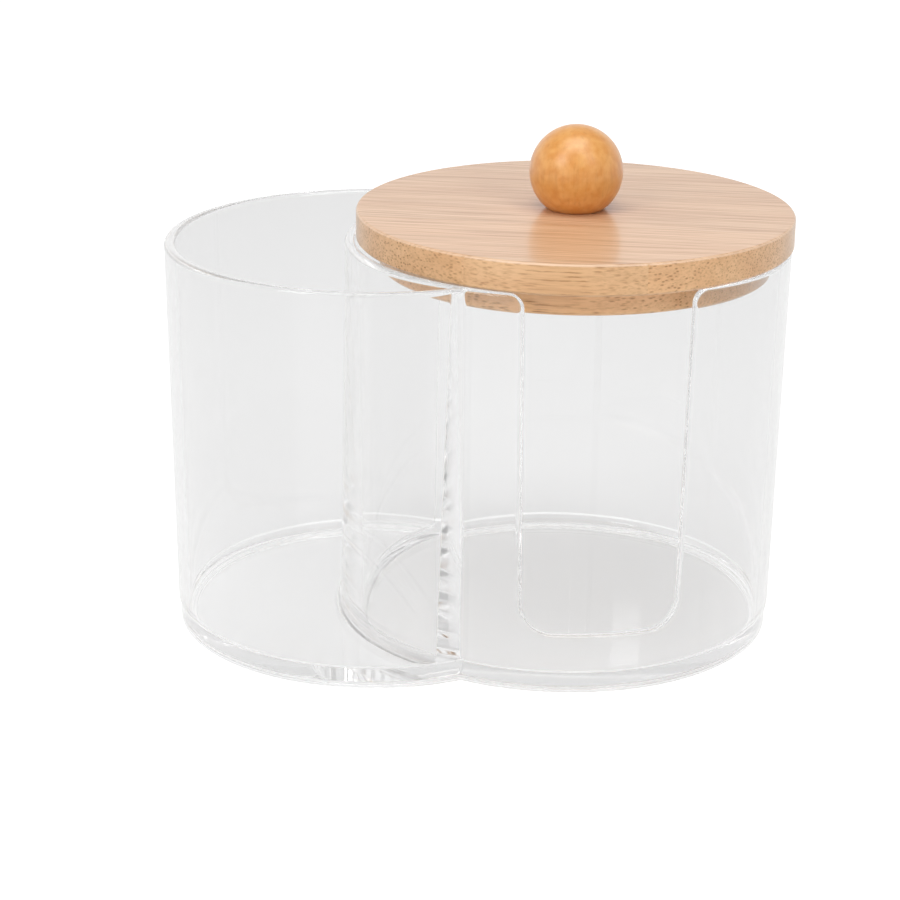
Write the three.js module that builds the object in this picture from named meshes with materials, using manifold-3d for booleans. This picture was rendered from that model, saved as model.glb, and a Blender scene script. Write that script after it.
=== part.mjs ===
// Twin-cup cotton pad holder in millimetres, +Z up.
// A clear moulded container has two cups that run into each other, with a window in the larger one.
// A bamboo lid with a ball knob drops into the mouth of the larger cup and lifts straight off.
// The origin lies on the ground under the middle of the whole object, and +X runs from the small cup
// to the large one.

import * as THREE from "three";
import { mergeVertices } from "three/addons/utils/BufferGeometryUtils.js";
import Module from "manifold-3d";

// Container
const cupSpacing = 29.8; // between the upright axes of the two cups
const largeRimRadius = 34.6;
const smallRimRadius = 32.6;
const rimHeight = 62.2;
const wall = 1.7;
const rimRound = 0.75; // on both edges of the rim
const draftShare = 0.0135; // how far a wall leans in, as a share of its height
const floorThickness = 2.6;
const floorFillet = 2.0;
const stepHeight = 3.5; // the foot below it is set in
const stepInset = 0.35;
const stepSlope = 0.35; // height of the slope from the wall in to the foot
const footBevel = 0.3;
const footRingWidth = 2.2;
const recessDepth = 0.5; // of the underside inside the foot ring

// Window in the front of the large cup
const windowTurn = 6.2; // degrees from straight forward, towards +X
const windowTopWidth = 24.7;
const windowBottomWidth = 23.4;
const windowSill = 9.5; // height of its lower edge
const windowCorner = 4.6; // radius of its lower corners
const windowFlare = 2.2; // radius where its sides run out into the rim

// Lid
const lidSetBack = 0.8; // of its edge from the edge of the rim, when it lies in the middle
const lidThickness = 4.8; // above the rim
const lidEdgeRound = 0.4;
const plugClearance = 2.7; // all round, between the plug and the mouth of the cup
const plugDepth = 3.8; // below the rim
const plugBevel = 0.4;
const lidShiftRight = 0.95; // where the loose lid lies, from the large cup's axis
const lidShiftForward = 0.8;
const grainTurn = -10; // degrees from +X to the run of the strips
const frontStripDepth = 2.7; // of the cut-down strip at the front edge
const backStripDepth = 4.9; // and at the back edge
const fullStripCount = 3; // between them, of equal width
const glueLine = 0.06;

// Knob and its screw
const knobRadius = 7.2;
const knobFlatRadius = 4.3;
const screwShankRadius = 1.75;
const screwLength = 14; // under the head
const screwTip = 2.6;
const screwHeadRadius = 3.4;
const screwHeadHeight = 1.9;
const screwHeadRound = 0.9;
const screwClearance = 0.15; // round the shank and past the tip
const counterboreClearance = 0.6;
const counterboreDepth = 2.4;

// Facets and cutting
const turnFacets = 80;
const smallTurnFacets = 32;
const arcSteps = 3;
const knobArcSteps = 9;
const windowArcSteps = 8;
const overrun = 3; // how far a cutter runs past what it cuts

// Places worked out from the sizes
const lidRadius = largeRimRadius - lidSetBack;
const plugRadius = largeRimRadius - wall - plugClearance;
const reachRight = Math.max(largeRimRadius, lidShiftRight + lidRadius);
const overallWidth = smallRimRadius + cupSpacing + reachRight;
const largeAxisX = overallWidth / 2 - reachRight;
const smallAxisX = largeAxisX - cupSpacing;
const lidCentre = new THREE.Vector3(largeAxisX + lidShiftRight, -lidShiftForward, rimHeight);
const wallRun = rimHeight - stepHeight;

const wasm = await Module();
wasm.setup();

// A closed three.js geometry as a solid that can be joined and cut.
function solidOf(geometry) {
  const bare = geometry.clone();
  bare.deleteAttribute("normal");
  bare.deleteAttribute("uv");
  const merged = mergeVertices(bare);
  return new wasm.Manifold(
    new wasm.Mesh({
      numProp: 3,
      vertProperties: new Float32Array(merged.attributes.position.array),
      triVerts: new Uint32Array(merged.index.array),
    }),
  );
}

// A solid back as a three.js geometry.
function geometryOf(solid) {
  const mesh = solid.getMesh();
  const geometry = new THREE.BufferGeometry();
  geometry.setAttribute("position", new THREE.BufferAttribute(mesh.vertProperties, mesh.numProp));
  geometry.setIndex(new THREE.BufferAttribute(mesh.triVerts, 1));
  geometry.computeVertexNormals();
  return geometry;
}

// A profile of radius and height, turned about the upright axis through (x, y), with its zero at height z.
function turned(profile, facets, steps, x, y, z) {
  const geometry = new THREE.LatheGeometry(profile.getPoints(steps), facets);
  geometry.rotateX(Math.PI / 2);
  geometry.translate(x, y, z);
  return geometry;
}

function disc(radius, bottom, top, facets, x, y) {
  const profile = new THREE.Path();
  profile.moveTo(0, bottom);
  profile.lineTo(radius, bottom);
  profile.lineTo(radius, top);
  profile.lineTo(0, top);
  return solidOf(turned(profile, facets, arcSteps, x, y, 0));
}

// One cup: foot, stepped and leaning wall, round rim and filleted floor.
function cup(rimRadius, axisX) {
  const stepRadius = rimRadius - draftShare * wallRun;
  const footRadius = stepRadius - stepInset;
  const mouthRadius = rimRadius - wall;
  const filletTop = floorThickness + floorFillet;
  const cornerRadius = mouthRadius - draftShare * (rimHeight - filletTop);
  const roundTop = rimHeight - rimRound;
  const profile = new THREE.Path();
  profile.moveTo(0, 0);
  profile.lineTo(footRadius - footBevel, 0);
  profile.lineTo(footRadius, footBevel);
  profile.lineTo(footRadius, stepHeight);
  profile.lineTo(stepRadius, stepHeight + stepSlope);
  profile.lineTo(rimRadius, roundTop);
  profile.absarc(rimRadius - rimRound, roundTop, rimRound, 0, Math.PI / 2, false);
  profile.absarc(mouthRadius + rimRound, roundTop, rimRound, Math.PI / 2, Math.PI, false);
  profile.lineTo(cornerRadius, filletTop);
  profile.absarc(cornerRadius - floorFillet, filletTop, floorFillet, 0, -Math.PI / 2, true);
  profile.lineTo(0, floorThickness);
  return solidOf(turned(profile, turnFacets, arcSteps, axisX, 0, 0));
}

// All that lies inside the middle of one cup's wall.
function wallCore(rimRadius, axisX) {
  const rimCore = rimRadius - wall / 2;
  const profile = new THREE.Path();
  profile.moveTo(0, -overrun);
  profile.lineTo(rimCore - draftShare * (rimHeight + overrun), -overrun);
  profile.lineTo(rimCore + draftShare * overrun, rimHeight + overrun);
  profile.lineTo(0, rimHeight + overrun);
  return solidOf(turned(profile, turnFacets, arcSteps, axisX, 0, 0));
}

// The shared wall grows thicker downwards on the small cup's side. There it leans away from the large cup,
// as the mould's core for the small cup needs, and ends in a fillet on the floor.
function sharedWallBacking() {
  const rimCore = largeRimRadius - wall / 2;
  const filletTop = floorThickness + floorFillet;
  const footRadius = largeRimRadius + draftShare * (rimHeight - filletTop);
  const roundTop = rimHeight - rimRound;
  const profile = new THREE.Path();
  profile.moveTo(rimCore - draftShare * (rimHeight - recessDepth), recessDepth);
  profile.lineTo(footRadius + floorFillet, recessDepth);
  profile.lineTo(footRadius + floorFillet, floorThickness);
  profile.absarc(footRadius + floorFillet, filletTop, floorFillet, -Math.PI / 2, -Math.PI, true);
  profile.lineTo(largeRimRadius, roundTop);
  profile.absarc(largeRimRadius - rimRound, roundTop, rimRound, 0, Math.PI / 2, false);
  profile.lineTo(rimCore, rimHeight);
  profile.closePath();
  const ring = solidOf(turned(profile, turnFacets, arcSteps, largeAxisX, 0, 0));
  return ring.intersect(wallCore(smallRimRadius, smallAxisX));
}

// The hollow of the underside, one disc for each cup, which leaves a ring to stand on.
function undersideRecess() {
  const ringInset = draftShare * wallRun + stepInset + footRingWidth;
  const large = disc(largeRimRadius - ringInset, -overrun, recessDepth, turnFacets, largeAxisX, 0);
  const small = disc(smallRimRadius - ringInset, -overrun, recessDepth, turnFacets, smallAxisX, 0);
  return large.add(small);
}

// The window's cutter: round lower corners, and sides that flare into the rim in a round.
function windowCutter() {
  const topHalf = windowTopWidth / 2;
  const bottomHalf = windowBottomWidth / 2;
  const flareX = topHalf + windowFlare;
  const flareZ = rimHeight - windowFlare;
  const cornerX = bottomHalf - windowCorner;
  const cornerZ = windowSill + windowCorner;
  const outline = new THREE.Shape();
  outline.moveTo(-flareX, rimHeight + overrun);
  outline.lineTo(-flareX, rimHeight);
  outline.absarc(-flareX, flareZ, windowFlare, Math.PI / 2, 0, true);
  outline.lineTo(-bottomHalf, cornerZ);
  outline.absarc(-cornerX, cornerZ, windowCorner, Math.PI, 1.5 * Math.PI, false);
  outline.absarc(cornerX, cornerZ, windowCorner, 1.5 * Math.PI, 2 * Math.PI, false);
  outline.lineTo(topHalf, flareZ);
  outline.absarc(flareX, flareZ, windowFlare, Math.PI, Math.PI / 2, true);
  outline.lineTo(flareX, rimHeight + overrun);
  const depth = largeRimRadius + overrun;
  const geometry = new THREE.ExtrudeGeometry(outline, {
    depth,
    bevelEnabled: false,
    curveSegments: windowArcSteps,
  });
  geometry.rotateX(Math.PI / 2);
  geometry.rotateZ(THREE.MathUtils.degToRad(windowTurn));
  geometry.translate(largeAxisX, 0, 0);
  return solidOf(geometry);
}

// The large cup stays whole, so its wall also parts the two compartments.
function container() {
  const large = cup(largeRimRadius, largeAxisX);
  const small = cup(smallRimRadius, smallAxisX).subtract(wallCore(largeRimRadius, largeAxisX));
  const cups = large.add(small).add(sharedWallBacking());
  return geometryOf(cups.subtract(undersideRecess()).subtract(windowCutter()));
}

// The whole lid: a board with a stepped edge, bored and counterbored for the knob's screw.
function lidBoard() {
  const profile = new THREE.Path();
  profile.moveTo(0, -plugDepth);
  profile.lineTo(plugRadius - plugBevel, -plugDepth);
  profile.lineTo(plugRadius, plugBevel - plugDepth);
  profile.lineTo(plugRadius, 0);
  profile.lineTo(lidRadius - plugBevel, 0);
  profile.lineTo(lidRadius, plugBevel);
  profile.lineTo(lidRadius, lidThickness - lidEdgeRound);
  profile.absarc(lidRadius - lidEdgeRound, lidThickness - lidEdgeRound, lidEdgeRound, 0, Math.PI / 2, false);
  profile.lineTo(0, lidThickness);
  const board = solidOf(turned(profile, turnFacets, arcSteps, lidCentre.x, lidCentre.y, lidCentre.z));
  const under = lidCentre.z - plugDepth;
  const boreTop = lidCentre.z + lidThickness + overrun;
  const boreRadius = screwShankRadius + screwClearance;
  const bore = disc(boreRadius, under - overrun, boreTop, smallTurnFacets, lidCentre.x, lidCentre.y);
  const headRoom = disc(
    screwHeadRadius + counterboreClearance,
    under - overrun,
    under + counterboreDepth,
    smallTurnFacets,
    lidCentre.x,
    lidCentre.y,
  );
  return board.subtract(bore).subtract(headRoom);
}

// The glue lines' distances behind the lid's centre, front to back, between the board's two edges.
function stripEdges() {
  const firstSeam = frontStripDepth - lidRadius;
  const lastSeam = lidRadius - backStripDepth;
  const edges = [-lidRadius - overrun];
  for (let i = 0; i <= fullStripCount; i += 1) {
    edges.push(THREE.MathUtils.lerp(firstSeam, lastSeam, i / fullStripCount));
  }
  edges.push(lidRadius + overrun);
  return edges;
}

// One bamboo strip of the board, between two glue lines.
function lidStrip(board, front, back) {
  const height = plugDepth + lidThickness + 2 * overrun;
  const geometry = new THREE.BoxGeometry(2 * (lidRadius + overrun), back - front - glueLine, height);
  geometry.translate(0, (front + back) / 2, (lidThickness - plugDepth) / 2);
  geometry.rotateZ(THREE.MathUtils.degToRad(grainTurn));
  geometry.translate(lidCentre.x, lidCentre.y, lidCentre.z);
  return geometryOf(board.intersect(solidOf(geometry)));
}

// A turned ball with a flat to stand on and a blind hole for the screw.
function knob() {
  const centreHeight = Math.sqrt(knobRadius ** 2 - knobFlatRadius ** 2);
  const flatAngle = -Math.asin(centreHeight / knobRadius);
  const boardUnderHead = plugDepth + lidThickness - counterboreDepth;
  const holeRadius = screwShankRadius + screwClearance;
  const holeDepth = screwLength - boardUnderHead + screwClearance;
  const profile = new THREE.Path();
  profile.moveTo(0, holeDepth);
  profile.lineTo(holeRadius, holeDepth - screwTip);
  profile.lineTo(holeRadius, 0);
  profile.lineTo(knobFlatRadius, 0);
  profile.absarc(0, centreHeight, knobRadius, flatAngle, Math.PI / 2, false);
  const top = lidCentre.z + lidThickness;
  return turned(profile, turnFacets / 2, knobArcSteps, lidCentre.x, lidCentre.y, top);
}

// A round-headed screw whose head bears on the floor of the counterbore.
function knobScrew() {
  const profile = new THREE.Path();
  profile.moveTo(0, -screwHeadHeight);
  profile.lineTo(screwHeadRadius - screwHeadRound, -screwHeadHeight);
  profile.absarc(
    screwHeadRadius - screwHeadRound,
    screwHeadRound - screwHeadHeight,
    screwHeadRound,
    -Math.PI / 2,
    0,
    false,
  );
  profile.lineTo(screwHeadRadius, 0);
  profile.lineTo(screwShankRadius, 0);
  profile.lineTo(screwShankRadius, screwLength - screwTip);
  profile.lineTo(0, screwLength);
  const seat = lidCentre.z - plugDepth + counterboreDepth;
  return turned(profile, smallTurnFacets, arcSteps, lidCentre.x, lidCentre.y, seat);
}

// Materials
const clearPlastic = new THREE.MeshStandardMaterial({
  color: 0xe8ecee,
  roughness: 0.08,
  metalness: 0,
  transparent: true,
  opacity: 0.35,
});
const bamboo = new THREE.MeshStandardMaterial({ color: 0xdcae86, roughness: 0.4, metalness: 0 });
const varnishedWood = new THREE.MeshStandardMaterial({ color: 0xc9782f, roughness: 0.35, metalness: 0 });
const zincSteel = new THREE.MeshStandardMaterial({ color: 0xb9bbbd, roughness: 0.35, metalness: 1 });

// Assembly
const holder = new THREE.Group();
const lid = new THREE.Group();
holder.add(lid);

function addPiece(parent, name, geometry, material) {
  const mesh = new THREE.Mesh(geometry, material);
  mesh.name = name;
  parent.add(mesh);
}

addPiece(holder, "container", container(), clearPlastic);

const board = lidBoard();
const edges = stripEdges();
for (let i = 1; i < edges.length; i += 1) {
  addPiece(lid, `lid_strip_${i}`, lidStrip(board, edges[i - 1], edges[i]), bamboo);
}

addPiece(lid, "knob", knob(), varnishedWood);
addPiece(lid, "knob_screw", knobScrew(), zincSteel);

export default holder;
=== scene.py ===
# Clear twin-cup holder for cotton pads and swabs, with a bamboo lid on its larger cup.
# Lengths are in metres, +Z is up, +X runs from the small cup to the large one, and the window faces -Y.

import math

import bmesh
import bpy
from mathutils import Matrix, Vector


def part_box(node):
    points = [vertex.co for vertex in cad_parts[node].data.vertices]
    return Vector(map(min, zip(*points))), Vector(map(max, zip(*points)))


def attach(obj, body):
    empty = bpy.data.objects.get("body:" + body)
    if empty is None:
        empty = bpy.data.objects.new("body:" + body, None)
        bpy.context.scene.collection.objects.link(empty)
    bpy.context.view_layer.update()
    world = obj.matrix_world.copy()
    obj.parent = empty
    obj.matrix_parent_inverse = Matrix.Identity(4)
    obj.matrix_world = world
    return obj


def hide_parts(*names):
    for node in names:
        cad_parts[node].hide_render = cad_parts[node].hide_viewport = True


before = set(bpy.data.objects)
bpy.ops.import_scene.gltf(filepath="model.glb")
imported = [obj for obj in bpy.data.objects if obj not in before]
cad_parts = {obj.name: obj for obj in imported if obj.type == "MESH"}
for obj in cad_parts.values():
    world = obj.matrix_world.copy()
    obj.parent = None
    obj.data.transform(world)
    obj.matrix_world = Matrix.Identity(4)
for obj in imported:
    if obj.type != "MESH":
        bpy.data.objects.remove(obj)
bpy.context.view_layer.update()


# Container
# One injection-moulded piece of clear plastic. Two cups lean in towards a common floor and share a wall,
# the foot is stepped in and stands on a narrow ring, and a tall window opens the front of the large cup.

mm = 0.001
container_low, container_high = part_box("container")
rim_height = container_high.z
large_rim = container_high.y
small_rim = 32.6 * mm
large_axis = container_high.x - large_rim
small_axis = container_low.x + small_rim
cup_spacing = large_axis - small_axis
wall = 1.7 * mm
lean = 0.0135
rim_round = 0.75 * mm
notch_fillet = 0.5 * mm
horn_fillet = 0.3 * mm
least_fillet = 0.15 * mm
floor_top = 2.6 * mm
floor_fillet = 1.2 * mm
step_height = 3.5 * mm
step_slope = 0.35 * mm
step_inset = 0.35 * mm
foot_bevel = 0.3 * mm
foot_ring = 2.2 * mm
recess_depth = 0.5 * mm
moulded_edge = 0.14 * mm
window_facing = math.radians(-90 + 6.2)
window_sector = math.radians(29)
window_top = 24.7 * mm
window_bottom = 23.4 * mm
window_sill = 9.5 * mm
window_corner = 4.6 * mm
window_flare = 2.2 * mm
window_spacing = 1.6 * mm
window_rungs = 3
wall_spacing = 5 * mm
hair = 0.001 * mm
# How finely the curves are divided: the angle between the points of a small round, and steps round a cup.
rim_turn = math.radians(10)
window_turn = math.radians(9)
foot_turn = math.radians(20)
large_outside_steps = 134
large_left_steps = 6
large_inside_steps = 232
small_cup_steps = 172
shared_wall_steps = 88
notch_steps = 8
horn_steps = 12


def heading(start, end):
    """The direction from one profile point to the next."""
    return math.atan2(end[1] - start[1], end[0] - start[0])


def softened(corners, turn):
    """A profile with its corners rounded. A corner is (across, up, round), with the material on its left.
    Each point is (across, up, facing across, facing up), and turn is the angle between points of an arc."""
    points = []
    for i, (across, up, rounding) in enumerate(corners):
        after = corners[(i + 1) % len(corners)]
        if rounding == 0:
            way = heading((across, up), after) if i == 0 else heading(corners[i - 1], (across, up))
            points.append((across, up, math.sin(way), -math.cos(way)))
            continue
        way_in = heading(corners[i - 1], (across, up))
        bend = math.remainder(heading((across, up), after) - way_in, math.tau)
        side = math.copysign(rounding, bend)
        reach = rounding * math.tan(abs(bend) / 2)
        centre_across = across - reach * math.cos(way_in) - side * math.sin(way_in)
        centre_up = up - reach * math.sin(way_in) + side * math.cos(way_in)
        steps = max(1, round(abs(bend) / turn))
        for k in range(steps + 1):
            way = way_in + bend * k / steps
            facing = math.sin(way), -math.cos(way)
            points.append((centre_across + side * facing[0], centre_up + side * facing[1], *facing))
    return points


def filled_in(points, longest):
    """The same profile with more points along its straight stretches."""
    spaced = [points[0]]
    for start, end in zip(points, points[1:]):
        parts = max(1, math.ceil(math.dist(start[:2], end[:2]) / longest))
        spaced += [tuple(a + (b - a) * k / parts for a, b in zip(start, end)) for k in range(1, parts + 1)]
    return spaced


def arc(axis_x, axis_y, radius, start, end, steps, outward):
    """Points (x, y, facing x, facing y) along an arc, without its last one."""
    angles = [start + (end - start) * k / steps for k in range(steps)]
    return [
        (
            axis_x + radius * math.cos(a),
            axis_y + radius * math.sin(a),
            outward * math.cos(a),
            outward * math.sin(a),
        )
        for a in angles
    ]


def crossing(small_reach, large_reach):
    """Where circles about the two cups' axes cross, from the small axis, with the angles seen from each."""
    x = (small_reach**2 - large_reach**2 + cup_spacing**2) / (2 * cup_spacing)
    y = math.sqrt(small_reach**2 - x**2)
    return x, y, math.atan2(y, x), math.atan2(y, x - cup_spacing)


window_left = window_facing - window_sector
window_right = window_facing + window_sector


def outside_outline(across, up):
    """Round both cups from the window's right side to its left side, with a fillet in each notch."""
    fillet = notch_fillet - across - lean * (rim_height - up)
    x, y, from_small, from_large = crossing(small_rim + across + fillet, large_rim + across + fillet)
    x += small_axis
    large, small = large_rim + across, small_rim + across
    outline = arc(large_axis, 0, large, window_right, from_large, large_outside_steps, 1)
    outline += arc(x, y, fillet, from_large - math.pi, from_small - math.pi, notch_steps, -1)
    outline += arc(small_axis, 0, small, from_small, math.tau - from_small, small_cup_steps, 1)
    outline += arc(x, -y, fillet, math.pi - from_small, math.pi - from_large, notch_steps, -1)
    outline += arc(
        large_axis, 0, large, math.tau - from_large, window_left + math.tau, large_left_steps, 1
    )
    return outline + arc(large_axis, 0, large, window_left, window_right, 1, 1)


def large_cup_outline(across, up):
    """Round the inside of the large cup, from the window's right side to its left side."""
    radius = large_rim - wall + across
    outline = arc(
        large_axis, 0, radius, window_right, window_left + math.tau, large_inside_steps, 1
    )
    return outline + arc(large_axis, 0, radius, window_left, window_right, 1, 1)


def small_cup_outline(across, up):
    """Round the inside of the small cup: its own wall, a horn, the shared wall and the other horn."""
    horn = max(least_fillet, horn_fillet + across + lean * (rim_height - up))
    small, shared = small_rim - wall + across, large_rim - across
    x, y, from_small, from_large = crossing(small - horn, shared + horn)
    x += small_axis
    outline = arc(small_axis, 0, small, from_small, math.tau - from_small, small_cup_steps, -1)
    outline += arc(x, -y, horn, -from_small, math.pi - from_large, horn_steps, -1)
    outline += arc(large_axis, 0, shared, math.tau - from_large, from_large, shared_wall_steps, 1)
    return outline + arc(x, y, horn, from_large - math.pi, from_small, horn_steps, -1)


container_points, container_facings, container_faces = [], [], []


def place(point, facing=None):
    """Adds a point to the container and gives back its number. Facing is the smooth normal, where known."""
    container_points.append(point)
    container_facings.append(facing)
    return len(container_points) - 1


def place_outline(outline, profile_point, inward=1):
    """One outline at one profile point. inward is -1 where the outline's facings point out of a hollow."""
    across, up, out, rise = profile_point
    return [place((x, y, up), (fx * out * inward, fy * out * inward, rise)) for x, y, fx, fy in outline]


def skin(first, second, closed=True):
    """Quads between two rows of the same length."""
    last = len(first) if closed else len(first) - 1
    for i in range(last):
        j = (i + 1) % len(first)
        container_faces.append((first[i], first[j], second[j], second[i]))


window_path = filled_in(
    softened(
        [
            (-window_top, rim_height, 0),
            (-window_top / 2, rim_height, window_flare),
            (-window_bottom / 2, window_sill, window_corner),
            (window_bottom / 2, window_sill, window_corner),
            (window_top / 2, rim_height, window_flare),
            (window_top, rim_height, 0),
        ],
        window_turn,
    )[1:-1],
    window_spacing,
)
left_corner = (-window_bottom / 2, window_sill)
wall_rows = min(range(len(window_path) // 2), key=lambda k: math.dist(window_path[k][:2], left_corner))
sector_columns = len(window_path) - 1 - 2 * wall_rows


def windowed_face(low, high, outline, wall_radius, depth_sign):
    """One face of the large cup's wall, inside or outside, with the window in it.
    low runs up to the wall's lower end, and high from its upper end over the rim's edge."""
    column = (window_right - window_left) / sector_columns
    sector = [window_left + column * k for k in range(1, sector_columns)]

    def on_wall(angle, up, depth=0.0):
        """A point of this face, or as far inside the wall as depth says."""
        radius = wall_radius - lean * (rim_height - up) - depth * depth_sign
        return large_axis + radius * math.cos(angle), radius * math.sin(angle), up

    def facing_at(angle, profile_point):
        """The smooth normal of the round wall at one profile point."""
        out, rise = profile_point[2:]
        return math.cos(angle) * out, math.sin(angle) * out, rise

    def at_edge(path_point, edge, depth):
        """Where the window's outline, widened by edge, lies on the wall."""
        sideways, up = (path_point[i] + edge * path_point[i + 2] for i in (0, 1))
        radius = wall_radius - lean * (rim_height - up) - depth * depth_sign
        return window_facing + math.asin(sideways / radius), up

    rows = []
    for point in low:
        around = place_outline(outline(point[0], point[1]), point)
        radius = wall_radius + point[0]
        spots = [((large_axis + radius * math.cos(a), radius * math.sin(a), point[1]), a) for a in sector]
        rows.append((around, [place(spot, facing_at(a, point)) for spot, a in spots]))
    for lower, upper in zip(rows, rows[1:]):
        skin(lower[0] + lower[1], upper[0] + upper[1])

    sides = [rows[-1][0]]
    for k in range(1, wall_rows + 1):
        point = tuple(a + (b - a) * k / wall_rows for a, b in zip(low[-1], high[0]))
        sides.append(place_outline(outline(point[0], point[1]), point))
        skin(sides[-2], sides[-1], closed=False)

    outer_frame = [row[-1] for row in reversed(sides)] + rows[-1][1] + [row[0] for row in sides]
    edge = rim_height - high[0][1]
    net = []
    for k in range(window_rungs):
        layer = []
        for path_point, frame_vertex in zip(window_path, outer_frame):
            angle, up = at_edge(path_point, edge, 0.0)
            x, y, frame_up = container_points[frame_vertex]
            frame_angle = math.atan2(y, x - large_axis)
            angle += (frame_angle - angle) * k / window_rungs
            up += (frame_up - up) * k / window_rungs
            layer.append((angle, place(on_wall(angle, up), facing_at(angle, low[-1]))))
        net.append(layer)
    layers = [[vertex for angle, vertex in layer] for layer in net] + [outer_frame]
    for inner, outer in zip(layers, layers[1:]):
        skin(inner, outer, closed=False)

    left_angles = [net[k][0][0] for k in range(window_rungs - 1, 0, -1)]
    right_angles = [net[k][-1][0] for k in range(1, window_rungs)]
    left = [net[k][0][1] for k in range(window_rungs - 1, 0, -1)]
    right = [net[k][-1][1] for k in range(1, window_rungs)]
    edge_row = sides[-1] + left + layers[0] + right
    for point in high[1:]:
        across, up = point[:2]
        depth = -depth_sign * (across + lean * (rim_height - up))
        around = place_outline(outline(across, up), point)
        flanks = [
            [place(on_wall(a, up, depth), facing_at(a, point)) for a in angles]
            for angles in (left_angles, right_angles)
        ]
        path = []
        for path_point in window_path:
            angle, path_up = at_edge(path_point, rim_height - up, depth)
            path.append(place(on_wall(angle, path_up, depth)))
        next_row = around + flanks[0] + path + flanks[1]
        skin(edge_row, next_row)
        edge_row = next_row
    return rows[0][0] + rows[0][1], path


wall_foot = rim_height - step_height
step_in = lean * wall_foot
outside_low = softened(
    [
        (-small_rim, recess_depth, 0),
        (-step_in - step_inset - foot_ring, recess_depth, moulded_edge),
        (-step_in - step_inset - foot_ring, 0, moulded_edge),
        (-step_in - step_inset - foot_bevel, 0, moulded_edge),
        (-step_in - step_inset, foot_bevel, moulded_edge),
        (-step_in - step_inset, step_height, moulded_edge),
        (-step_in + lean * step_slope, step_height + step_slope, moulded_edge),
        (0, rim_height, 0),
    ],
    foot_turn,
)[1:-1]
outside_high = softened(
    [(-lean * wall_foot, step_height, 0), (0, rim_height, rim_round), (-wall, rim_height, 0)],
    rim_turn,
)[1:-1]
inside_high = softened(
    [(wall, rim_height, 0), (0, rim_height, rim_round), (-lean * rim_height, 0, 0)],
    rim_turn,
)[1:-1]
inside_low = softened(
    [
        (0, rim_height, 0),
        (-lean * (rim_height - floor_top), floor_top, floor_fillet),
        (-large_rim, floor_top, 0),
    ],
    rim_turn,
)[1:-1]

underside, outer_path = windowed_face(outside_low, outside_high, outside_outline, large_rim, 1)
large_floor, inner_path = windowed_face(
    inside_low[::-1], inside_high[::-1], large_cup_outline, large_rim - wall, -1
)
skin(outer_path, inner_path, closed=False)
container_faces.append(tuple(underside))
container_faces.append(tuple(large_floor))

small_rows = inside_low[::-1]
small_rows += filled_in([inside_low[0], inside_high[-1]], wall_spacing)[1:-1] + inside_high[::-1]
small_rings = [place_outline(small_cup_outline(point[0], point[1]), point, -1) for point in small_rows]
for lower, upper in zip(small_rings, small_rings[1:]):
    skin(lower, upper)
container_faces.append(tuple(small_rings[0]))

container_mesh = bpy.data.meshes.new("moulded_container")
container_mesh.from_pydata(container_points, [], container_faces)
container_form = bmesh.new()
container_form.from_mesh(container_mesh)
rim_top = [
    edge
    for edge in container_form.edges
    if len(edge.link_faces) == 1 and min(v.co.z for v in edge.verts) > rim_height - hair
]
bmesh.ops.triangle_fill(container_form, edges=rim_top, use_beauty=True, normal=(0, 0, 1))
bmesh.ops.recalc_face_normals(container_form, faces=container_form.faces)
container_form.to_mesh(container_mesh)
container_form.free()
container_mesh.shade_smooth()
container_mesh.normals_split_custom_set_from_vertices(
    [
        facing if facing else tuple(vertex.normal)
        for facing, vertex in zip(container_facings, container_mesh.vertices)
    ]
)
container = bpy.data.objects.new("moulded_container", container_mesh)
bpy.context.collection.objects.link(container)


def add_node(tree, kind, sockets=None, **settings):
    """A shader node with its settings and the plain values of its sockets."""
    made = tree.nodes.new(kind)
    for name, value in settings.items():
        setattr(made, name, value)
    for name, value in (sockets or {}).items():
        made.inputs[name].default_value = value
    return made


def new_material(name):
    """An empty finish: its node tree and its shader."""
    material = bpy.data.materials.new(name)
    material.use_nodes = True
    return material, material.node_tree, material.node_tree.nodes["Principled BSDF"]


def clear_plastic():
    """Polished clear plastic, with the faint flow ripples of moulding."""
    all_but_clear = (0.985, 0.985, 0.985, 1)
    depth_grey = (0.5, 0.5, 0.5, 1)
    plastic_ior = 1.49
    ripple_height = 0.1 * mm
    material, tree, shader = new_material("clear_plastic")
    shader.inputs["Base Color"].default_value = all_but_clear
    shader.inputs["Transmission Weight"].default_value = 1
    shader.inputs["IOR"].default_value = plastic_ior
    place_in = add_node(tree, "ShaderNodeTexCoord")
    ripples = add_node(tree, "ShaderNodeTexNoise", {"Scale": 60, "Detail": 2})
    tree.links.new(place_in.outputs["Object"], ripples.inputs["Vector"])
    polish = add_node(
        tree, "ShaderNodeMapRange", {"From Min": 0.3, "From Max": 0.7, "To Min": 0.0, "To Max": 0.04}
    )
    tree.links.new(ripples.outputs["Fac"], polish.inputs["Value"])
    tree.links.new(polish.outputs["Result"], shader.inputs["Roughness"])
    flow = add_node(tree, "ShaderNodeBump", {"Strength": 0.06, "Distance": ripple_height})
    tree.links.new(ripples.outputs["Fac"], flow.inputs["Height"])
    tree.links.new(flow.outputs["Normal"], shader.inputs["Normal"])
    deep = add_node(tree, "ShaderNodeVolumeAbsorption", {"Color": depth_grey, "Density": 1.0})
    tree.links.new(deep.outputs["Volume"], tree.nodes["Material Output"].inputs["Volume"])
    return material


# Clear plastic lets the lamps through to the plug of the lid and to the floor under the cups.
container.visible_shadow = False
container_mesh.materials.append(clear_plastic())
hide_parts("container")
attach(container, "container")


# Lid board
# Five strips of pressed bamboo, glued side by side, turned to a stepped disc and lacquered. The plug under
# the rim keeps the lid in the mouth of the large cup, and the knob's screw comes up through the middle.

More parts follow.
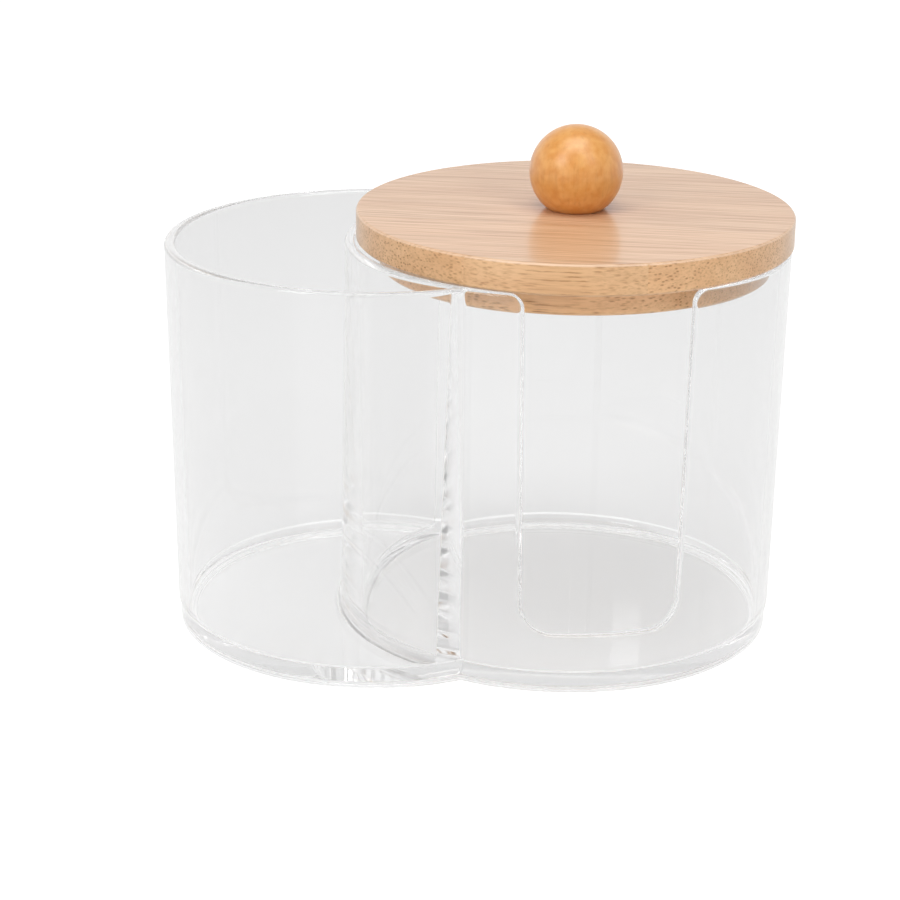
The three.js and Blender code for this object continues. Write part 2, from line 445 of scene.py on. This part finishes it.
strip_names = [f"lid_strip_{i}" for i in range(1, 6)]
strip_corners = [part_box(name) for name in strip_names]
lid_low = Vector([min(low[i] for low, high in strip_corners) for i in range(3)])
lid_high = Vector([max(high[i] for low, high in strip_corners) for i in range(3)])
lid_centre = (lid_low + lid_high) / 2
lid_centre.z = rim_height
lid_radius = (lid_high.x - lid_low.x) / 2
lid_thickness = lid_high.z - rim_height
lid_edge_round = 0.45 * mm
plug_radius = 30.2 * mm
plug_depth = rim_height - lid_low.z
plug_bevel = 0.4 * mm
board_edge = 0.12 * mm
bore_radius = 1.9 * mm
counterbore_radius = 4.0 * mm
counterbore_depth = 2.4 * mm
grain_turn = math.radians(-10)
strip_width = 20 * mm
first_seam = -31.1 * mm
strip_seams = [first_seam + k * strip_width for k in range(4)]
glue_line = 0.012 * mm
wood_turn = math.radians(15)
board_steps = 288
sharp_edge = math.radians(40)


def turned(profile, steps, centre, closed=False):
    """A closed form turned about an upright axis through centre."""
    form = bmesh.new()
    rows = []
    for across, up, *facing in profile:
        count = 1 if across < hair else steps
        angles = [math.tau * k / count for k in range(count)]
        rows.append(
            [
                form.verts.new(centre + Vector((across * math.cos(a), across * math.sin(a), up)))
                for a in angles
            ]
        )
    pairs = list(zip(rows, rows[1:])) + ([(rows[-1], rows[0])] if closed else [])
    for first, second in pairs:
        for k in range(steps):
            corners = [first[k % len(first)], first[(k + 1) % len(first)]]
            corners += [second[(k + 1) % len(second)], second[k % len(second)]]
            form.faces.new(dict.fromkeys(corners))
    bmesh.ops.recalc_face_normals(form, faces=form.faces)
    return form


def finished_piece(name, form):
    """A turned or cut form as an object, smooth except at its sharp edges."""
    mesh = bpy.data.meshes.new(name)
    form.to_mesh(mesh)
    form.free()
    mesh.shade_smooth()
    mesh.set_sharp_from_angle(angle=sharp_edge)
    piece = bpy.data.objects.new(name, mesh)
    bpy.context.collection.objects.link(piece)
    even = piece.modifiers.new("even_faces", "WEIGHTED_NORMAL")
    even.weight = 90
    even.keep_sharp = True
    return piece


board_profile = softened(
    [
        (counterbore_radius, -plug_depth, board_edge),
        (plug_radius - plug_bevel, -plug_depth, board_edge),
        (plug_radius, plug_bevel - plug_depth, board_edge),
        (plug_radius, 0, board_edge),
        (lid_radius - plug_bevel, 0, board_edge),
        (lid_radius, plug_bevel, board_edge),
        (lid_radius, lid_thickness, lid_edge_round),
        (bore_radius, lid_thickness, board_edge),
        (bore_radius, counterbore_depth - plug_depth, board_edge),
        (counterbore_radius, counterbore_depth - plug_depth, board_edge),
    ],
    wood_turn,
)


def cut_off(form, centre, across, keep_behind):
    """Saws the board along the grain and closes the cut. across is the cut's distance behind the centre."""
    behind = Vector((-math.sin(grain_turn), math.cos(grain_turn), 0))
    cut = bmesh.ops.bisect_plane(
        form,
        geom=form.verts[:] + form.edges[:] + form.faces[:],
        plane_co=centre + behind * across,
        plane_no=behind,
        clear_inner=keep_behind,
        clear_outer=not keep_behind,
    )
    edges = [part for part in cut["geom_cut"] if isinstance(part, bmesh.types.BMEdge)]
    bmesh.ops.contextual_create(form, geom=edges)


def bamboo(name, offset, bundle_scale, bundle_depth, tone):
    """Pressed bamboo under satin lacquer: fibre bundles run along the strip and show as dots on cut ends."""

    def toned(*colour):
        """A colour at the strip's own tone."""
        return tuple(level * tone for level in colour)

    straw, pale_straw = toned(0.72, 0.44, 0.26), toned(0.80, 0.53, 0.335)
    dark_straw, dark_fibre = toned(0.50, 0.27, 0.14), toned(0.50, 0.26, 0.13)
    bundle_end = (0.38, 0.17, 0.05)
    side_tint = (1.0, 0.93, 0.74)
    paler_rounded_edge = (0.86, 0.62, 0.42)
    satin, lacquer_satin = 0.42, 0.17
    bundle_length = 20
    relief_height = 0.05 * mm
    material, tree, shader = new_material(name)
    link = tree.links.new
    place_in = add_node(tree, "ShaderNodeTexCoord")
    along = add_node(
        tree,
        "ShaderNodeMapping",
        {"Location": offset, "Rotation": (0, 0, -grain_turn), "Scale": (1 / mm, 1 / mm, 1 / mm)},
    )
    link(place_in.outputs["Object"], along.inputs["Vector"])
    facing_up = add_node(tree, "ShaderNodeSeparateXYZ")
    link(place_in.outputs["Normal"], facing_up.inputs["Vector"])

    def drawn_out(length, width, detail):
        """Noise that is drawn out along the grain. The two sizes are in millimetres."""
        space = add_node(tree, "ShaderNodeMapping", {"Scale": (1 / length, 1 / width, 1 / width)})
        link(along.outputs["Vector"], space.inputs["Vector"])
        noise = add_node(tree, "ShaderNodeTexNoise", {"Scale": 1.0, "Detail": detail, "Roughness": 0.6})
        link(space.outputs["Vector"], noise.inputs["Vector"])
        return noise.outputs["Fac"]

    def fitted(value, low, high, start, end):
        """A value brought from the range low to high to that of start to end, and held at its ends."""
        between = add_node(
            tree, "ShaderNodeMapRange", {"From Min": low, "From Max": high, "To Min": start, "To Max": end}
        )
        link(value, between.inputs["Value"])
        return between.outputs["Result"]

    def product(first, second):
        """Two values multiplied."""
        made = add_node(tree, "ShaderNodeMath", operation="MULTIPLY")
        link(first, made.inputs[0])
        link(second, made.inputs[1])
        return made.outputs["Value"]

    def tinted(base, factor, colour, blend="MIX"):
        """A colour laid over another."""
        mix = add_node(tree, "ShaderNodeMix", data_type="RGBA", blend_type=blend)
        mix.inputs["B"].default_value = (*colour, 1)
        if isinstance(base, tuple):
            mix.inputs["A"].default_value = (*base, 1)
        else:
            link(base, mix.inputs["A"])
        link(factor, mix.inputs["Factor"])
        return mix.outputs["Result"]

    bundle_space = add_node(
        tree, "ShaderNodeMapping", {"Scale": (1 / bundle_length, bundle_scale, bundle_scale)}
    )
    link(along.outputs["Vector"], bundle_space.inputs["Vector"])
    waver = add_node(tree, "ShaderNodeTexNoise", {"Scale": 0.6, "Detail": 2})
    link(along.outputs["Vector"], waver.inputs["Vector"])
    wavy = add_node(tree, "ShaderNodeVectorMath", {"Scale": 0.6}, operation="SCALE")
    link(waver.outputs["Color"], wavy.inputs[0])
    bundle_place = add_node(tree, "ShaderNodeVectorMath", operation="ADD")
    link(bundle_space.outputs["Vector"], bundle_place.inputs[0])
    link(wavy.outputs["Vector"], bundle_place.inputs[1])
    bundles = add_node(tree, "ShaderNodeTexVoronoi", {"Scale": 1.0, "Randomness": 1.0})
    link(bundle_place.outputs["Vector"], bundles.inputs["Vector"])
    each_bundle = add_node(tree, "ShaderNodeSeparateColor")
    link(bundles.outputs["Color"], each_bundle.inputs["Color"])
    dots = fitted(bundles.outputs["Distance"], 0.14, 0.44, 1.0, 0.0)
    dots = product(dots, fitted(each_bundle.outputs["Red"], 0.0, 1.0, 0.35, 1.0))
    dots = product(dots, fitted(facing_up.outputs["Z"], 0.0, 0.9, bundle_depth, 0.22))

    fine = drawn_out(20, 0.32, 2)
    coarse = drawn_out(26, 0.9, 3)
    broad = drawn_out(90, 4.5, 2)
    colour = tinted(straw, fitted(broad, 0.3, 0.7, 0.0, 1.0), pale_straw)
    on_top = fitted(facing_up.outputs["Z"], 0.0, 0.5, 0.45, 1.0)
    colour = tinted(colour, product(fitted(coarse, 0.48, 0.7, 0.0, 0.6), on_top), dark_straw)
    colour = tinted(colour, product(fitted(fine, 0.48, 0.64, 0.0, 0.8), on_top), dark_fibre)
    colour = tinted(colour, dots, bundle_end)
    on_side = fitted(facing_up.outputs["Z"], 0.0, 0.5, 1.0, 0.0)
    colour = tinted(colour, on_side, side_tint, "MULTIPLY")
    # The board is paler along its rounded edge, between its top and its side.
    rising = fitted(facing_up.outputs["Z"], 0.15, 0.6, 0.0, 1.0)
    falling = fitted(facing_up.outputs["Z"], 0.6, 0.95, 0.6, 0.0)
    colour = tinted(colour, product(rising, falling), paler_rounded_edge)
    link(colour, shader.inputs["Base Color"])

    shader.inputs["Roughness"].default_value = satin
    shader.inputs["Coat Weight"].default_value = 0.6
    shader.inputs["Coat Roughness"].default_value = lacquer_satin
    grain_relief = add_node(tree, "ShaderNodeBump", {"Strength": 0.3, "Distance": relief_height})
    link(fine, grain_relief.inputs["Height"])
    link(grain_relief.outputs["Normal"], shader.inputs["Normal"])
    return material


strip_cuts = [None] + strip_seams + [None]
# Each strip comes from another culm: the place of its pattern, the fibre bundles in a millimetre, how
# strongly they show on cut ends, and its tone.
strip_looks = [
    ((13, 4, 2), 2.6, 0.85, 1.0),
    ((41, 9, 5), 2.5, 1.0, 1.06),
    ((87, 2, 7), 3.0, 0.7, 1.0),
    ((23, 6, 1), 2.8, 0.8, 0.98),
    ((65, 3, 9), 3.2, 0.7, 0.95),
]
for i, name in enumerate(strip_names):
    form = turned(board_profile, board_steps, lid_centre, closed=True)
    if strip_cuts[i] is not None:
        cut_off(form, lid_centre, strip_cuts[i] + glue_line / 2, True)
    if strip_cuts[i + 1] is not None:
        cut_off(form, lid_centre, strip_cuts[i + 1] - glue_line / 2, False)
    strip = finished_piece(f"bamboo_strip_{i + 1}", form)
    strip.data.materials.append(bamboo(f"bamboo_{i + 1}", *strip_looks[i]))
    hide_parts(name)
    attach(strip, "lid")


# Knob
# A ball turned from light hardwood with a flat to stand on, stained amber and varnished. It is drawn down
# on the board by the screw from below.

knob_low, knob_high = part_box("knob")
knob_radius = (knob_high.x - knob_low.x) / 2
knob_flat = 4.3 * mm
knob_edge = 0.15 * mm
knob_bore = 1.9 * mm
knob_bore_depth = 7.95 * mm
knob_bore_tip = 2.6 * mm
knob_steps = 144
knob_rows = 48
knob_centre = Vector((lid_centre.x, lid_centre.y, knob_high.z - knob_radius))
knob_foot = -math.sqrt(knob_radius**2 - knob_flat**2)
knob_profile = [(0, knob_foot + knob_bore_depth), (knob_bore, knob_foot + knob_bore_depth - knob_bore_tip)]
knob_profile += [(knob_bore, knob_foot + knob_edge), (knob_bore + knob_edge, knob_foot)]
for k in range(knob_rows + 1):
    angle = math.asin(knob_foot / knob_radius) * (1 - k / knob_rows) + math.pi / 2 * k / knob_rows
    knob_profile.append((knob_radius * math.cos(angle), knob_radius * math.sin(angle)))


def varnished_wood():
    """Amber varnish over close upright grain, a little uneven in tone."""
    amber, pale_amber = (0.74, 0.30, 0.045, 1), (0.82, 0.40, 0.10, 1)
    grain_brown = (0.56, 0.20, 0.02, 1)
    wood_satin, varnish_satin = 0.45, 0.32
    film_height, relief_height = 0.1 * mm, 0.05 * mm
    material, tree, shader = new_material("knob_varnish")
    link = tree.links.new
    place_in = add_node(tree, "ShaderNodeTexCoord")
    grain_space = add_node(tree, "ShaderNodeMapping", {"Scale": (1500, 1500, 160)})
    link(place_in.outputs["Object"], grain_space.inputs["Vector"])
    grain = add_node(tree, "ShaderNodeTexNoise", {"Scale": 1.0, "Detail": 4, "Roughness": 0.6})
    link(grain_space.outputs["Vector"], grain.inputs["Vector"])
    mottle = add_node(tree, "ShaderNodeTexNoise", {"Scale": 700, "Detail": 3})
    link(place_in.outputs["Object"], mottle.inputs["Vector"])
    uneven = add_node(tree, "ShaderNodeMapRange", {"From Min": 0.35, "From Max": 0.65})
    link(mottle.outputs["Fac"], uneven.inputs["Value"])
    stain = add_node(tree, "ShaderNodeMix", data_type="RGBA")
    stain.inputs["A"].default_value = amber
    stain.inputs["B"].default_value = pale_amber
    link(uneven.outputs["Result"], stain.inputs["Factor"])
    streaked = add_node(tree, "ShaderNodeMix", data_type="RGBA")
    streaked.inputs["B"].default_value = grain_brown
    streaks = add_node(
        tree, "ShaderNodeMapRange", {"From Min": 0.5, "From Max": 0.8, "To Min": 0.0, "To Max": 0.5}
    )
    link(grain.outputs["Fac"], streaks.inputs["Value"])
    link(streaks.outputs["Result"], streaked.inputs["Factor"])
    link(stain.outputs["Result"], streaked.inputs["A"])
    link(streaked.outputs["Result"], shader.inputs["Base Color"])
    shader.inputs["Roughness"].default_value = wood_satin
    shader.inputs["Coat Weight"].default_value = 1.0
    shader.inputs["Coat Roughness"].default_value = varnish_satin
    film = add_node(tree, "ShaderNodeBump", {"Strength": 0.35, "Distance": film_height})
    link(mottle.outputs["Fac"], film.inputs["Height"])
    relief = add_node(tree, "ShaderNodeBump", {"Strength": 0.15, "Distance": relief_height})
    link(grain.outputs["Fac"], relief.inputs["Height"])
    link(film.outputs["Normal"], relief.inputs["Normal"])
    link(relief.outputs["Normal"], shader.inputs["Normal"])
    link(relief.outputs["Normal"], shader.inputs["Coat Normal"])
    return material


knob = finished_piece("turned_knob", turned(knob_profile, knob_steps, knob_centre))
knob.data.materials.append(varnished_wood())
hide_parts("knob")
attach(knob, "lid")


# Screw
# A pan-headed wood screw in zinc-plated steel, with a cross recess. It comes up through the board from the
# counterbore, where only its head shows, and its thread bites into the knob.

screw_low, screw_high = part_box("knob_screw")
screw_head = (screw_high.x - screw_low.x) / 2
screw_head_height = 1.9 * mm
screw_head_round = 0.9 * mm
screw_shank = 1.4 * mm
screw_crest = 1.82 * mm
screw_tip = 2.6 * mm
screw_pitch = 1.3 * mm
screw_thread_start = 3.0 * mm
screw_recess_length = 3.9 * mm
screw_recess_width = 0.85 * mm
screw_recess_depth = 1.15 * mm
screw_recess_taper = 0.45
screw_edge = 0.08 * mm
screw_thread_foot = 0.1 * mm
screw_steps = 72
screw_seat = Vector((lid_centre.x, lid_centre.y, screw_low.z + screw_head_height))
screw_length = screw_high.z - screw_seat.z
thread_steps = 36


def thread(form, length):
    """A closed ridge of three sides that runs up round the shank. It fades in over one turn and out over
    two, and its foot lies a little inside the shank."""
    count = int((length - screw_pitch / 2 - screw_thread_start) / screw_pitch * thread_steps)
    rows = []
    for k in range(count + 1):
        up = screw_thread_start + k * screw_pitch / thread_steps
        angle = math.tau * k / thread_steps
        fade = min(1, k / thread_steps, (count - k) / (2 * thread_steps))
        root = screw_shank * min(1, (length - up) / screw_tip) - screw_thread_foot
        crest = root + (screw_crest - screw_shank + screw_thread_foot) * fade
        sides = ((root, -screw_pitch / 4), (crest, 0), (root, screw_pitch / 4))
        rows.append(
            [
                form.verts.new(screw_seat + Vector((r * math.cos(angle), r * math.sin(angle), up + rise)))
                for r, rise in sides
            ]
        )
    for first, second in zip(rows, rows[1:]):
        for i in range(3):
            form.faces.new((first[(i + 1) % 3], first[i], second[i], second[(i + 1) % 3]))
    form.faces.new(rows[0])
    form.faces.new(reversed(rows[-1]))


def cross_recess():
    """The form that the recess for the driver is cut with: a cross that narrows upwards into the head."""
    arm, half = screw_recess_length / 2, screw_recess_width / 2
    outline = []
    x_step, y_step = Vector((1, 0, 0)), Vector((0, 1, 0))
    for _ in range(4):
        for across, along in ((half, arm), (half, half), (arm, half)):
            outline.append(x_step * across + y_step * along)
        x_step, y_step = -y_step, x_step
    form = bmesh.new()
    levels = []
    for depth, share in ((-screw_recess_depth / 2, 1.0), (screw_recess_depth, screw_recess_taper)):
        middle = screw_seat + Vector((0, 0, depth - screw_head_height))
        levels.append([form.verts.new(middle + corner * share) for corner in outline])
    for i in range(len(outline)):
        j = (i + 1) % len(outline)
        form.faces.new((levels[0][i], levels[0][j], levels[1][j], levels[1][i]))
    form.faces.new(levels[0])
    form.faces.new(levels[1])
    bmesh.ops.recalc_face_normals(form, faces=form.faces)
    return form


def zinc_plate():
    """Bright zinc plating, finely mottled."""
    zinc, bright_zinc = (0.62, 0.63, 0.65, 1), (0.78, 0.78, 0.77, 1)
    material, tree, shader = new_material("zinc_plate")
    link = tree.links.new
    place_in = add_node(tree, "ShaderNodeTexCoord")
    mottle = add_node(tree, "ShaderNodeTexNoise", {"Scale": 2200, "Detail": 4})
    link(place_in.outputs["Object"], mottle.inputs["Vector"])
    tone = add_node(tree, "ShaderNodeMix", data_type="RGBA")
    tone.inputs["A"].default_value = zinc
    tone.inputs["B"].default_value = bright_zinc
    link(mottle.outputs["Fac"], tone.inputs["Factor"])
    link(tone.outputs["Result"], shader.inputs["Base Color"])
    shader.inputs["Metallic"].default_value = 1
    dull = add_node(tree, "ShaderNodeMapRange", {"To Min": 0.2, "To Max": 0.42})
    link(mottle.outputs["Fac"], dull.inputs["Value"])
    link(dull.outputs["Result"], shader.inputs["Roughness"])
    return material


screw_profile = softened(
    [
        (0, -screw_head_height, 0),
        (screw_head, -screw_head_height, screw_head_round),
        (screw_head, 0, screw_edge),
        (screw_shank, 0, screw_edge),
        (screw_shank, screw_length - screw_tip, screw_edge),
        (0, screw_length, 0),
    ],
    wood_turn,
)
# The recess is cut out of the plain screw first, and the thread goes on the cut form.
screw = finished_piece("wood_screw", turned(screw_profile, screw_steps, screw_seat))
recess = finished_piece("recess_cutter", cross_recess())
cut = screw.modifiers.new("recess", "BOOLEAN")
cut.operation = "DIFFERENCE"
cut.object = recess
screw.modifiers.move(1, 0)
bpy.context.view_layer.update()
cut_mesh = bpy.data.meshes.new_from_object(screw.evaluated_get(bpy.context.evaluated_depsgraph_get()))
bpy.data.objects.remove(recess)
bpy.data.objects.remove(screw)
screw_form = bmesh.new()
screw_form.from_mesh(cut_mesh)
bmesh.ops.remove_doubles(screw_form, verts=screw_form.verts, dist=10 * hair)
bmesh.ops.dissolve_degenerate(screw_form, edges=screw_form.edges, dist=hair)
thread(screw_form, screw_length)
screw = finished_piece("wood_screw", screw_form)
screw.data.materials.append(zinc_plate())
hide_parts("knob_screw")
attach(screw, "lid")


# Stage
# A pale floor under soft light from above and from both sides, and the camera at the angle of the picture.

floor_half = 2.5
floor_corners = [(x * floor_half, y * floor_half, 0) for x, y in ((-1, -1), (1, -1), (1, 1), (-1, 1))]
floor_mesh = bpy.data.meshes.new("floor")
floor_mesh.from_pydata(floor_corners, [], [(0, 1, 2, 3)])
floor = bpy.data.objects.new("floor", floor_mesh)
bpy.context.collection.objects.link(floor)


def shown_by_ray(tree, *levels):
    """A level that depends on the kind of ray. The levels are, in this order, for what lights the holder,
    what it mirrors, what shows through the clear plastic, and what the camera sees directly."""
    path = add_node(tree, "ShaderNodeLightPath")
    kinds = ("Is Glossy Ray", "Is Transmission Ray", "Is Camera Ray")
    value = levels[0]
    for kind, level in zip(kinds, levels[1:]):
        chosen = add_node(tree, "ShaderNodeMix", data_type="FLOAT")
        for side, source in (("A", value), ("B", level)):
            if isinstance(source, float):
                chosen.inputs[side].default_value = source
            else:
                tree.links.new(source, chosen.inputs[side])
        tree.links.new(path.outputs[kind], chosen.inputs["Factor"])
        value = chosen.outputs["Result"]
    return value


def pale_floor():
    """Matt white that also glows where it is seen, so that it stays white round the holder and shows pale
    grey, with the shade of the lid, through the floors and walls of the cups."""
    material, tree, shader = new_material("pale_floor")
    tree.nodes.remove(shader)
    matt = add_node(tree, "ShaderNodeBsdfDiffuse")
    tree.links.new(shown_by_ray(tree, 0.8, 0.3, 0.39, 0.3), matt.inputs["Color"])
    place_in = add_node(tree, "ShaderNodeTexCoord")
    away = add_node(tree, "ShaderNodeVectorMath", operation="LENGTH")
    tree.links.new(place_in.outputs["Object"], away.inputs[0])
    # Painted shade: where the floor shows through the plastic, its glow is a little dimmer within 36 to 54 mm
    # of the middle, under the holder.
    under = add_node(
        tree,
        "ShaderNodeMapRange",
        {"From Min": 36 * mm, "From Max": 54 * mm, "To Min": 0.44, "To Max": 0.49},
        interpolation_type="SMOOTHSTEP",
    )
    tree.links.new(away.outputs["Value"], under.inputs["Value"])
    lit = add_node(tree, "ShaderNodeEmission", {"Color": (1, 1, 1, 1)})
    tree.links.new(shown_by_ray(tree, 0.0, 0.7, under.outputs["Result"], 0.9), lit.inputs["Strength"])
    lifted = add_node(tree, "ShaderNodeAddShader")
    tree.links.new(matt.outputs["BSDF"], lifted.inputs[0])
    tree.links.new(lit.outputs["Emission"], lifted.inputs[1])
    tree.links.new(lifted.outputs["Shader"], tree.nodes["Material Output"].inputs["Surface"])
    return material


floor_mesh.materials.append(pale_floor())

world = bpy.data.worlds.new("studio")
world.use_nodes = True
bpy.context.scene.world = world
backdrop = world.node_tree.nodes["Background"]
backdrop.inputs["Color"].default_value = (1, 1, 1, 1)


def room_level(tree):
    """The white room behind the holder, dimmer in front of it and overhead, so that clear edges show grey."""
    link = tree.links.new
    place_in = add_node(tree, "ShaderNodeTexCoord")
    towards = add_node(tree, "ShaderNodeSeparateXYZ")
    link(place_in.outputs["Generated"], towards.inputs["Vector"])
    depth = add_node(
        tree, "ShaderNodeMapRange", {"From Min": -0.6, "From Max": 0.2, "To Min": 0.8, "To Max": 0.95}
    )
    link(towards.outputs["Y"], depth.inputs["Value"])
    height = add_node(
        tree, "ShaderNodeMapRange", {"From Min": 0.3, "From Max": 0.7, "To Min": 1.0, "To Max": 0.4}
    )
    link(towards.outputs["Z"], height.inputs["Value"])
    level = add_node(tree, "ShaderNodeMath", operation="MULTIPLY")
    link(depth.outputs["Result"], level.inputs[0])
    link(height.outputs["Result"], level.inputs[1])
    return level.outputs["Value"]


room_light = 0.42
room = room_level(world.node_tree)
room_seen = shown_by_ray(world.node_tree, room_light, room, room, 1.0)
world.node_tree.links.new(room_seen, backdrop.inputs["Strength"])


def soft_box(name, azimuth, elevation, distance, width, height, watts):
    """A flat soft light that faces the holder. Azimuth 0 is in front of it."""
    lamp = bpy.data.lights.new(name, "AREA")
    lamp.shape = "RECTANGLE"
    lamp.size = width
    lamp.size_y = height
    lamp.energy = watts
    light = bpy.data.objects.new(name, lamp)
    a, e = math.radians(azimuth), math.radians(elevation)
    away = Vector((math.sin(a) * math.cos(e), -math.cos(a) * math.cos(e), math.sin(e)))
    light.location = Vector((0, 0, rim_height / 2)) + away * distance
    light.rotation_euler = away.to_track_quat("Z", "Y").to_euler()
    bpy.context.collection.objects.link(light)
    return light


lamp_distance = 0.8
soft_box("soft_box_above", 0, 80, lamp_distance, 0.6, 0.5, 3.0)
soft_box("soft_box_left", -48, 38, lamp_distance, 0.25, 0.4, 1.5)
soft_box("soft_box_right", 38, 42, lamp_distance, 0.25, 0.4, 0.8)

# Low lit cards close to the holder on both sides, in three widths over one another, so that the upright
# reflections that they leave in the walls have soft edges.
card_height = 0.09
card_distance = 0.1
card_widths = (0.026, 0.042, 0.058)
for side, azimuth, watts in (("left", -28, 0.012), ("right", 30, 0.006)):
    for step, width in enumerate(card_widths):
        part = watts * width / card_widths[1] / len(card_widths)
        card = soft_box(f"card_{side}_{step}", azimuth, 0, card_distance, width, card_height, part)
        card.location.z = card_height / 2
        card.visible_camera = False
        card.visible_transmission = False

picture_azimuth = math.radians(-2.31)
picture_elevation = math.radians(19.441)
picture_roll = math.radians(0.627)
picture_distance = 387.0 * mm
picture_target = Vector((-4.113 * mm, 0, 27.162 * mm))
camera_data = bpy.data.cameras.new("camera")
camera_data.lens = 96.92
camera_data.sensor_width = 36.0
camera_data.clip_start = 0.01
camera = bpy.data.objects.new("camera", camera_data)
bpy.context.collection.objects.link(camera)
back = Vector(
    (
        math.sin(picture_azimuth) * math.cos(picture_elevation),
        -math.cos(picture_azimuth) * math.cos(picture_elevation),
        math.sin(picture_elevation),
    )
)
right = Vector((math.cos(picture_azimuth), math.sin(picture_azimuth), 0))
aim = Matrix((right, back.cross(right), back)).transposed() @ Matrix.Rotation(picture_roll, 3, "Z")
camera.matrix_world = Matrix.Translation(picture_target + back * picture_distance) @ aim.to_4x4()
bpy.context.scene.camera = camera
bpy.context.scene.view_settings.view_transform = "Standard"
# Light runs along inside the clear walls for many reflections before it leaves them.
wall_bounces = 160
bpy.context.scene.cycles.max_bounces = wall_bounces
bpy.context.scene.cycles.transmission_bounces = wall_bounces
bpy.context.scene.cycles.glossy_bounces = wall_bounces
